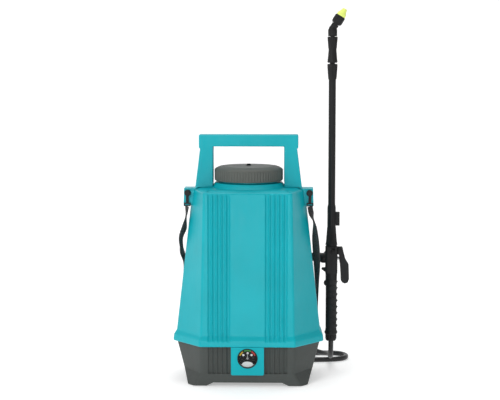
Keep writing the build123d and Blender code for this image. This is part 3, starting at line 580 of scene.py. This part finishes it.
def round_ring(like, radius, z):
    """A circle about the tank's axis with a point for each point of another ring."""
    ring = []
    for point in like:
        out = Vector(((point - AXIS).x, (point - AXIS).y, 0)).normalized() * radius * MM
        ring.append(AXIS + out + Vector((0, 0, z * MM)))
    return ring


def wall_plan(z):
    """The tank's plan at a height: it tapers evenly from the floor to the shoulder."""
    share = (z - RIM_Z) / (SHOULDER_Z - RIM_Z)
    return {key: TANK_LOW[key] + (TANK_HIGH[key] - TANK_LOW[key]) * share for key in TANK_LOW}


def make_tank():
    """The blow-moulded tank: skirt with a soft flare, grooved walls, deck, collar and neck."""
    rings = [plan_ring(TANK_LOW, 80.6, 0.6), plan_ring(TANK_LOW, 70.6, 0.9)]
    for z, grow in SKIRT_EDGE:
        rings.append(plan_ring(wall_plan(z), z, grow))
    for z in FLARE_RINGS:
        grow = SKIRT_OUT * smooth(z, FLARE_HIGH, FLARE_LOW)
        rings.append(plan_ring(wall_plan(z), z, grow, smooth(z, *GROOVES_START)))
    for z in WALL_RINGS:
        rings.append(plan_ring(wall_plan(z), z, 0, smooth(z, *GROOVES_END)))
    for z, grow in SHOULDER_EDGE:
        rings.append(plan_ring(TANK_HIGH, z, grow))
    like = rings[-1]
    for radius, z in NECK_PROFILE:
        rings.append(round_ring(like, radius, z))
    rings.append(plan_ring(TANK_HIGH, 327, -8))
    rings.append(plan_ring(TANK_LOW, 85, -4))
    points = [p for ring in rings for p in ring]
    count = len(rings[0])
    faces = ring_faces(rings)
    faces.append(tuple(reversed(range(count))))
    faces.append(tuple(range(len(points) - count, len(points))))
    mesh_piece("tank_skin", points, faces, TANK_PLASTIC, "sprayer", ("tank",),
               sharp=40)


def make_neck_thread():
    """Two turns of thread round the filler neck, under the lid."""
    neck_r, thread_r, start_z, rise, steps = 50, 0.9, 346.5, 8.5, 160
    line = []
    for i in range(steps + 1):
        turn = 4 * math.pi * i / steps
        line.append(place(neck_r * MM * math.cos(turn), neck_r * MM * math.sin(turn),
                          (start_z + rise * i / steps) * MM))
    rings = tube_rings(line, thread_r * MM, 8)
    points = [p for ring in rings for p in ring]
    mesh_piece("neck_thread", points, ring_faces(rings), TANK_PLASTIC, "sprayer")


make_tank()
make_neck_thread()

# ---------------------------------------------------------------- lid, nuts and other turned pieces
# profiles are (radius, height) in millimetres, along the piece's own axis
LID_PROFILE = [
    (0, 363), (51.5, 363), (51.5, 346.6), (52, 346), (57.6, 346), (58.6, 346.8), (58.9, 348.2),
    (59, 348.6), (59, 364.2), (58.8, 364.8), (58.2, 366), (56.4, 367.5), (53.4, 369),
    (50.2, 370.2), (48.2, 370.5), (47.4, 370), (46.4, 370), (45.6, 370.7), (24, 371.4),
    (3.02, 371.5),
]


def make_lid():
    """The screw lid: a knurled rim, a bevel and a shallow groove round the top."""
    spun("lid_skin", in_metres(LID_PROFILE), AXIS, (0, 0, 1), LID_PLASTIC, "lid",
         ("lid_shell",), ribs=(72, 0.9 * MM, 348.5 * MM, 364.3 * MM))


# name, CAD node, body, half profile, ribs round it: count, depth, from and to
LANCE_NUTS = [
    ("grip_nut_skin", "grip_nut", "lance",
     [(4.6, 53), (7.8, 53), (8.4, 53.3), (9.7, 56.4), (10, 57.6), (10, 64.6), (10.4, 65.3),
      (11.3, 66.2), (11.5, 67), (11.5, 70), (4.6, 70)], (20, 0.7, 57, 64.8)),
    ("union_nut_skin", "union_nut", "lance",
     [(6.3, 225), (10.4, 225), (10.6, 225.4), (10.6, 227), (10, 229), (9.6, 232), (8.2, 250),
      (7.8, 256.5), (7.2, 258), (6.3, 258)], (18, 0.8, 228.5, 250.5)),
    ("lock_nut_skin", "lock_nut", "tube_lock",
     [(6.35, 521.6), (6.35, 518), (7.1, 518), (7.6, 522), (8.6, 536), (8.9, 541), (9, 542.6),
      (8.8, 544.2), (8.2, 545), (4.9, 545)], (18, 0.7, 521, 541.5)),
    ("tube_coupling_skin", "tube_coupling", "inner_lance",
     [(4.6, 547), (8.2, 547), (8.8, 548), (8.8, 549.6), (7.9, 558), (7.1, 568), (7, 571.2),
      (7.4, 572), (8, 579), (8.9, 589.6), (8.9, 591), (8.5, 592.4), (4.1, 592.4)],
     (16, 0.7, 571.8, 590)),
]
NOZZLE_NUT_PROFILE = [
    (4.45, 10.4), (7, 10.4), (7.6, 10.8), (9.2, 12.8), (9.4, 13.6), (9.4, 23.6), (9.2, 24.6),
    (8.2, 26.2), (4.45, 26.4),
]
OUTLET_NUT_PROFILE = [
    (6.5, 6), (7.6, 6), (8, 6.5), (8, 15.6), (7.4, 17.2), (6.4, 18), (4.5, 18),
]


def make_nuts():
    """Hand nuts with grip ribs, along the lance, on the nozzle and on the hose outlet."""
    for name, node, body, profile, (count, depth, low, high) in LANCE_NUTS:
        spun(name, in_metres(profile), LANCE_AXIS, (0, 0, 1), BLACK_PLASTIC, body,
             (node,), ribs=(count, depth * MM, low * MM, high * MM))
    spun("nozzle_nut_skin", in_metres(NOZZLE_NUT_PROFILE), NOZZLE_AT, NOZZLE_OUT, BLACK_PLASTIC,
         "nozzle", ("nozzle_nut",), ribs=(16, 0.7 * MM, 12.9 * MM, 24.7 * MM))
    outlet = place(60 * MM, 82 * MM, 32 * MM)
    spun("outlet_nut_skin", in_metres(OUTLET_NUT_PROFILE), outlet, (0, 1, 0), BLACK_PLASTIC,
         "sprayer", ("outlet_nut",), ribs=(18, 0.6 * MM, 6.4 * MM, 15.8 * MM))


make_lid()
make_nuts()

# ---------------------------------------------------------------- gauge dial
DIAL_UP = DIAL_OUT.cross(Vector((1, 0, 0)))
PRINT_AT = 2.26             # height of the ink over the face of the base, millimetres
BAND_IN, BAND_OUT = 12.4, 14.8
MARK_R, MARKS_AT = 1.9, 9   # the round marks, and their distance from the needle's pivot


def on_dial(x, y, lift=0.0):
    """A point on the dial, millimetres from its middle."""
    return (DIAL_AT + Vector((1, 0, 0)) * x * MM + DIAL_UP * y * MM
            + DIAL_OUT * (PRINT_AT + lift) * MM)


def dial_patch(name, outline, material, lift=0.0):
    """One flat patch of ink."""
    points = [on_dial(x, y, lift) for x, y in outline]
    mesh_piece(name, points, [tuple(range(len(points)))], material, "sprayer")


def arc_points(radius, start, end, steps, x=0.0, y=0.0, squash=1.0):
    """Points round an arc from start to end in degrees, squashed upright if asked."""
    return [
        (x + radius * math.cos(math.radians(a)), y + radius * squash * math.sin(math.radians(a)))
        for a in (start + (end - start) * i / steps for i in range(steps + 1))
    ]


def make_dial():
    """Coloured bands, three marks and a blank label on the gauge."""
    for name, start, end, ink in (
        ("band_red", 20, 60, INK_RED), ("band_green", 65, 115, INK_GREEN),
        ("band_amber", 125, 160, INK_AMBER),
    ):
        outer = arc_points(BAND_OUT, start, end, 14)
        inner = arc_points(BAND_IN, end, start, 14)
        dial_patch(name, outer + inner, ink)
    for i, angle in enumerate((141, 88, 40)):
        x = MARKS_AT * math.cos(math.radians(angle))
        y = MARKS_AT * math.sin(math.radians(angle))
        dial_patch(f"dial_mark_{i + 1}", arc_points(MARK_R, 0, 345, 23, x, y), INK_WHITE)
    dial_patch("dial_label", arc_points(15.8, 220, 320, 24), INK_SILVER)
    dial_patch("dial_oval", arc_points(9.3, 0, 352, 44, 0, -10.5, 0.52), INK_WHITE, 0.03)


make_dial()

# ---------------------------------------------------------------- shoulder straps
# middle line of each strap: x, y, z, direction of its width in degrees from the x axis, width
STRAP_RIGHT = [
    (105.8, -17.6, 302, 6, 9), (107.6, -16.4, 292, 30, 10), (111.2, -12, 281, 84, 14),
    (114.9, -5, 266, 100, 22), (116.2, 6, 240, 110, 28), (118.2, 19, 205, 110, 28),
    (118.9, 36, 165, 100, 28), (119.8, 52, 124, 92, 28),
]
STRAP_LEFT = [
    (106, -17.4, 302, 50, 9), (107, -15, 292, 74, 11), (108.5, -12, 283, 88, 14),
    (111.3, -7, 271, 99, 20), (114.6, 2, 255, 105, 28), (118.2, 14, 236, 92, 28),
    (118.2, 21, 221, 96, 28), (113.3, 32, 198, 94, 28), (115.2, 40, 165, 93, 28),
    (119.8, 52, 124, 92, 28),
]
# past the adjuster the strap goes down through the anchor's slot and a short way up behind it
STRAP_END = [
    (118.2, 60.5, 106, 106, 28), (112.9, 72.4, 90, 126, 28), (108.8, 76.5, 66, 131, 28),
    (108.5, 76.4, 58, 134, 28), (107.8, 75.6, 53.4, 134, 28), (104.8, 73, 51.6, 134, 28),
    (102.7, 71.2, 54.6, 134, 28), (102.6, 71, 60, 134, 28),
]
STRAP_THICK = 2.2
STRAP_EDGE = 0.5            # how far in the webbing's edge starts to round off
STATIONS = 8                # stations from one named section to the next


def between_sections(route, step):
    """The strap's section at a step along the route, on a smooth curve through the sections."""
    i = min(int(step), len(route) - 2)
    t = step - i
    before, here, after, beyond = (
        route[max(i - 1, 0)], route[i], route[i + 1], route[min(i + 2, len(route) - 1)]
    )
    return [
        0.5 * (2 * b + (c - a) * t + (2 * a - 5 * b + 4 * c - d) * t**2
               + (3 * b - 3 * c + d - a) * t**3)
        for a, b, c, d in zip(before, here, after, beyond)
    ]


def make_strap(name, node, route, side):
    """A band of webbing with rounded edges; its UV map is in metres, along and across."""
    steps = (len(route) - 1) * STATIONS
    stations = [between_sections(route, i / STATIONS) for i in range(steps + 1)]
    middles = [Vector((side * s[0], s[1], s[2])) for s in stations]
    rings, uv_rings = [], []
    along = 0.0
    for i, station in enumerate(stations):
        ahead = (middles[min(i + 1, steps)] - middles[max(i - 1, 0)]).normalized()
        turn = math.radians(station[3])
        across = Vector((side * math.cos(turn), math.sin(turn), 0))
        across = (across - ahead * across.dot(ahead)).normalized()
        normal = ahead.cross(across)
        half, thick = station[4] / 2, STRAP_THICK / 2
        profile = [(-half, -0.4 * thick), (-half + STRAP_EDGE, -thick)]
        profile += [(half * share, -thick) for share in (-0.6, -0.2, 0.2, 0.6)]
        profile += [(half - STRAP_EDGE, -thick), (half, -0.4 * thick)]
        profile += [(x, -y) for x, y in reversed(profile)]
        along += (middles[i] - middles[i - 1]).length if i else 0
        rings.append([place(*((middles[i] + across * x + normal * y) * MM)) for x, y in profile])
        uv_rings.append([(along * MM, x * MM) for x, y in profile])
    points = [p for ring in rings for p in ring]
    uvs = [uv for ring in uv_rings for uv in ring]
    count = len(rings[0])
    faces = ring_faces(rings)
    faces.append(tuple(reversed(range(count))))
    faces.append(tuple(range(len(points) - count, len(points))))
    piece = mesh_piece(name, points, faces, WEBBING, "sprayer", (node,), sharp=70)
    layer = piece.data.uv_layers.new(name="UVMap")
    for loop in piece.data.loops:
        layer.data[loop.index].uv = uvs[loop.vertex_index]


make_strap("strap_right_webbing", "strap_right", STRAP_RIGHT + STRAP_END, 1)
make_strap("strap_left_webbing", "strap_left", STRAP_LEFT + STRAP_END, -1)

# ---------------------------------------------------------------- camera, light and floor
CAMERA_FAR = 2.6
CAMERA_ELEVATION = math.radians(8.3)
CAMERA_AZIMUTH = math.radians(1.6)
TARGET = place(0, 0, 0.215)
AIM = place(0.0021, 0, 0.3112)
FLOOR_FRONT, FLOOR_HALF = -5.0, 6
COVE_FROM, COVE_R, COVE_STEPS = 2.8, 1.2, 12
BACKDROP_TOP = 4.0


def make_camera():
    """A long lens in front of the sprayer, a little above it."""
    data = bpy.data.cameras.new("camera")
    data.lens = 107.6
    data.sensor_width = 36
    camera = bpy.data.objects.new("camera", data)
    bpy.context.scene.collection.objects.link(camera)
    flat = math.cos(CAMERA_ELEVATION)
    camera.location = TARGET + CAMERA_FAR * Vector((
        math.sin(CAMERA_AZIMUTH) * flat, -math.cos(CAMERA_AZIMUTH) * flat,
        math.sin(CAMERA_ELEVATION),
    ))
    camera.rotation_euler = (AIM - camera.location).to_track_quat("-Z", "Y").to_euler()
    bpy.context.scene.camera = camera


def softbox(name, location, size, power, aim=(0, 0, 0.22)):
    """A rectangular lamp that looks at the sprayer."""
    data = bpy.data.lights.new(name, "AREA")
    data.shape = "RECTANGLE"
    data.size, data.size_y = size
    data.energy = power
    lamp = bpy.data.objects.new(name, data)
    bpy.context.scene.collection.objects.link(lamp)
    lamp.location = location
    lamp.rotation_euler = (Vector(aim) - lamp.location).to_track_quat("-Z", "Y").to_euler()


def make_studio():
    """A pale floor that curves up into a backdrop, and soft light."""
    surface = Surface("studio_paper")
    surface.colour((0.9, 0.9, 0.9, 1))
    surface.set(Roughness=0.9, Specular_IOR_Level=0.1, Emission_Color=(1, 1, 1, 1),
                Emission_Strength=0.38)
    outline = [(FLOOR_FRONT, 0.0), (COVE_FROM, 0.0)]
    for i in range(1, COVE_STEPS + 1):
        turn = math.radians(90 * i / COVE_STEPS)
        outline.append((COVE_FROM + COVE_R * math.sin(turn), COVE_R - COVE_R * math.cos(turn)))
    outline.append((COVE_FROM + COVE_R, BACKDROP_TOP))
    rings = [[Vector((x, y, z)) for y, z in outline] for x in (-FLOOR_HALF, FLOOR_HALF)]
    points = [p for ring in rings for p in ring]
    mesh = bpy.data.meshes.new("studio_floor")
    mesh.from_pydata([tuple(p) for p in points], [], ring_faces(rings, closed_round=False))
    mesh.materials.append(surface.material)
    mesh.polygons.foreach_set("use_smooth", [True] * len(mesh.polygons))
    floor = bpy.data.objects.new("studio_floor", mesh)
    bpy.context.scene.collection.objects.link(floor)

    world = bpy.data.worlds.new("studio")
    world.use_nodes = True
    world.node_tree.nodes["Background"].inputs["Color"].default_value = (1, 1, 1, 1)
    world.node_tree.nodes["Background"].inputs["Strength"].default_value = 0.25
    bpy.context.scene.world = world
    softbox("key", (-1.4, -2.0, 1.5), (0.9, 0.9), 23)
    softbox("fill", (2.0, -1.2, 0.8), (1.0, 1.2), 4)
    softbox("sheen", (-0.25, -2.9, 0.2), (0.5, 0.35), 10, aim=(0, 0, 0.3))
    softbox("left", (-1.7, 0.1, 0.5), (0.8, 0.6), 3)
    softbox("top", (0.0, 0.2, 2.2), (1.6, 1.4), 20)
    softbox("backdrop", (0.0, 2.0, 2.6), (3.0, 0.8), 22, aim=(0, 4, 0.7))
    bpy.context.scene.view_settings.view_transform = "Standard"


make_camera()
make_studio()
